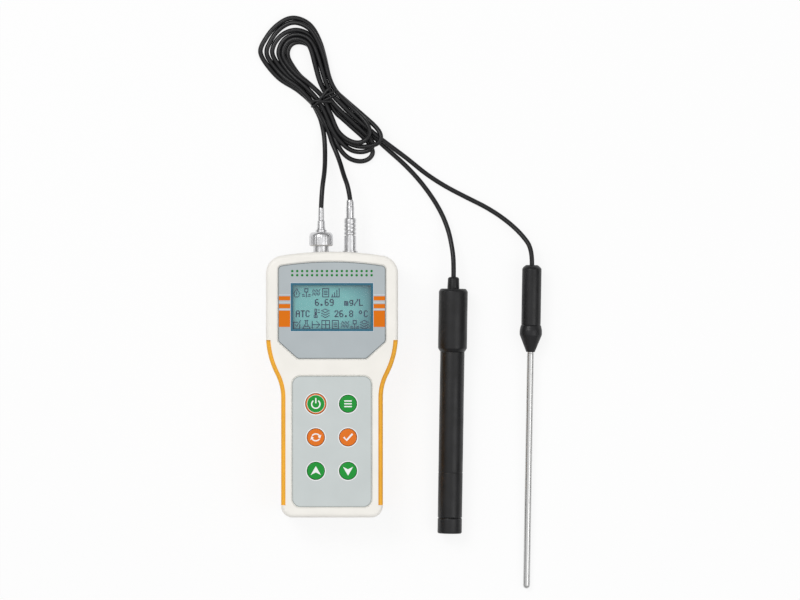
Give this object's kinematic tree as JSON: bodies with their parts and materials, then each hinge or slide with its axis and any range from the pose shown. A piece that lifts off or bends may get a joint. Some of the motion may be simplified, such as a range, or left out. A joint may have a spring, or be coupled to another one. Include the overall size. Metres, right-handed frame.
{
  "type": "water quality probe",
  "caption": "Handheld dissolved-oxygen meter with a screen and round keys, its oxygen probe and temperature probe on tied cables.",
  "frame": {"origin": "centre of the meter's back face", "axes": "+X to the meter's right, +Y towards its connectors, +Z out of its face; all pieces lie on the plane z=0"},
  "size_m": [0.1729, 0.3492, 0.032],
  "materials": {
    "case_white": "warm white moulded, satin",
    "grip_amber": "soft moulded, amber",
    "panel_grey": "printed film",
    "keypad_grey": "printed film",
    "window_clear": "clear",
    "lcd_teal": "liquid crystal glass",
    "key_green": "printed dome",
    "key_orange": "printed dome",
    "bright_nickel": "nickel plated",
    "stainless": "brushed",
    "gold": "plated contact",
    "silver": "bright",
    "insulator_white": "smooth",
    "black_plastic": "moulded, fine grain",
    "cable_black": "extruded jacket",
    "board_green": "solder mask",
    "chip_black": "moulded",
    "ribbon_amber": "polyimide",
    "cell_wrap": "printed sleeve",
    "seal_grey": "cord",
    "film_clear": "thin film"
  },
  "bodies": {
    "root": {"front_shell": "case_white", "back_shell": "case_white", "grip_right": "grip_amber", "grip_left": "grip_amber", "case_seal": "seal_grey", "case_screws": "stainless", "display_overlay": "panel_grey", "display_window": "window_clear", "lcd_glass": "lcd_teal", "lcd_frame": "silver", "lcd_backlight": "insulator_white", "lcd_board": "board_green", "keypad_overlay": "keypad_grey", "snap_domes": "silver", "keypad_circuit": "board_green", "keypad_ribbon": "ribbon_amber", "main_board": "board_green", "board_parts": "chip_black", "board_screws": "stainless", "batteries": "cell_wrap", "battery_contacts": "silver", "socket_bracket": "silver", "bnc_jack": "bright_nickel", "socket_nuts": "bright_nickel", "bnc_insulators": "insulator_white", "bnc_contacts": "gold", "bnc_plug_body": "bright_nickel", "bnc_wave_washer": "stainless", "bnc_crimp_sleeve": "bright_nickel", "temp_socket": "bright_nickel", "temp_contact_inserts": "insulator_white", "temp_plug_body": "bright_nickel", "temp_plug_collet": "bright_nickel", "do_probe_tube": "black_plastic", "do_electrodes": "silver", "do_electrode_core": "insulator_white", "do_o_ring": "seal_grey", "do_probe_head": "black_plastic", "do_strain_relief": "cable_black", "temp_rod": "stainless", "temp_sensor": "silver", "temp_collar": "black_plastic", "temp_handle": "black_plastic", "cord_hank": "cable_black", "hank_tie": "cable_black", "cord_oxygen_lead": "cable_black", "cord_temp_lead": "cable_black", "cord_oxygen_tail": "cable_black", "cord_temp_tail": "cable_black"},
    "battery_door": {"battery_door": "case_white"},
    "coupling_nut": {"bnc_coupling_nut": "bright_nickel"},
    "release_sleeve": {"temp_plug_sleeve": "bright_nickel"},
    "membrane_film": {"do_membrane": "film_clear"},
    "membrane_cap": {"do_membrane_cap": "black_plastic"},
    "key_power": {"key_power": "key_green"},
    "key_menu": {"key_menu": "key_green"},
    "key_cycle": {"key_cycle": "key_orange"},
    "key_confirm": {"key_confirm": "key_orange"},
    "key_up": {"key_up": "key_green"},
    "key_down": {"key_down": "key_green"}
  },
  "joints": [
    {"name": "key_power_press", "type": "slide", "parent": "root", "child": "key_power", "axis": [0, 0, -1], "range_m": [0, 0.0005], "stiffness_N_per_m": 900},
    {"name": "key_menu_press", "type": "slide", "parent": "root", "child": "key_menu", "axis": [0, 0, -1], "range_m": [0, 0.0005], "stiffness_N_per_m": 900},
    {"name": "key_cycle_press", "type": "slide", "parent": "root", "child": "key_cycle", "axis": [0, 0, -1], "range_m": [0, 0.0005], "stiffness_N_per_m": 900},
    {"name": "key_confirm_press", "type": "slide", "parent": "root", "child": "key_confirm", "axis": [0, 0, -1], "range_m": [0, 0.0005], "stiffness_N_per_m": 900},
    {"name": "key_up_press", "type": "slide", "parent": "root", "child": "key_up", "axis": [0, 0, -1], "range_m": [0, 0.0005], "stiffness_N_per_m": 900},
    {"name": "key_down_press", "type": "slide", "parent": "root", "child": "key_down", "axis": [0, 0, -1], "range_m": [0, 0.0005], "stiffness_N_per_m": 900},
    {"name": "battery_door_slide", "type": "slide", "parent": "root", "child": "battery_door", "axis": [0, -1, 0], "range_m": [0, 0.06]},
    {"name": "coupling_nut_turn", "type": "hinge", "parent": "root", "child": "coupling_nut", "pos_m": [-0.0067, 0.088, 0.016], "axis": [0, 1, 0], "range_deg": [0, 75]},
    {"name": "release_sleeve_pull", "type": "slide", "parent": "root", "child": "release_sleeve", "axis": [0, 1, 0], "range_m": [0, 0.0015], "stiffness_N_per_m": 1500},
    {"name": "membrane_cap_travel", "type": "slide", "parent": "root", "child": "membrane_film", "axis": [-0.0154, -0.9998, -0.0125], "range_m": [0, 0.008]},
    {"name": "membrane_cap_turn", "type": "hinge", "parent": "membrane_film", "child": "membrane_cap", "pos_m": [0.07146, -0.0869, 0.00744], "axis": [-0.0154, -0.9998, -0.0125], "range_deg": [0, 2884]}
  ],
  "couplings": [
    {"joint": "membrane_cap_turn", "follows": "membrane_cap_travel", "rad_per_m": 6283.2}
  ]
}
